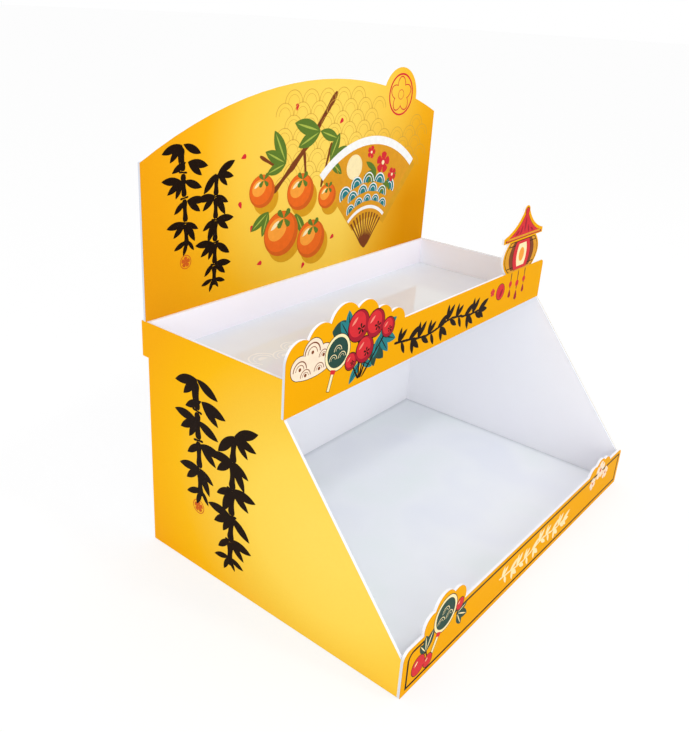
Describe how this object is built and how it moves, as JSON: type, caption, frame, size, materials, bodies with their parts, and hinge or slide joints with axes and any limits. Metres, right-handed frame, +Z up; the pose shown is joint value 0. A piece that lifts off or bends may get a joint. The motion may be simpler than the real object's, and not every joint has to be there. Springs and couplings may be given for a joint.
{
  "type": "countertop display stand",
  "caption": "Countertop display stand of thin foam board: slope-fronted bin, shallow tray above it, arched printed header in a rear pocket, and contour-cut front lips.",
  "frame": {"origin": "middle of the stand's bounding box, on the plane it stands on", "axes": "+X to the right across the stand, +Y from the front lips towards the header, +Z up"},
  "size_m": [0.45, 0.313, 0.4489],
  "materials": {
    "printed_side": "satin print on foam board, deep yellow fading to light yellow",
    "printed_header": "satin print on foam board",
    "printed_lip": "satin print on foam board, amber",
    "white_board": "smooth white foam board",
    "glossy_white_board": "glossy white foam board"
  },
  "bodies": {
    "root": {"left_side_panel": "printed_side", "right_side_panel": "printed_side", "bin_floor": "glossy_white_board", "bin_back_panel": "white_board", "tray_floor": "glossy_white_board", "tray_back_wall": "white_board", "pocket_rear_strip": "white_board", "header_panel": "printed_header", "upper_front_lip": "printed_lip", "lower_front_lip": "printed_lip"}
  },
  "joints": []
}
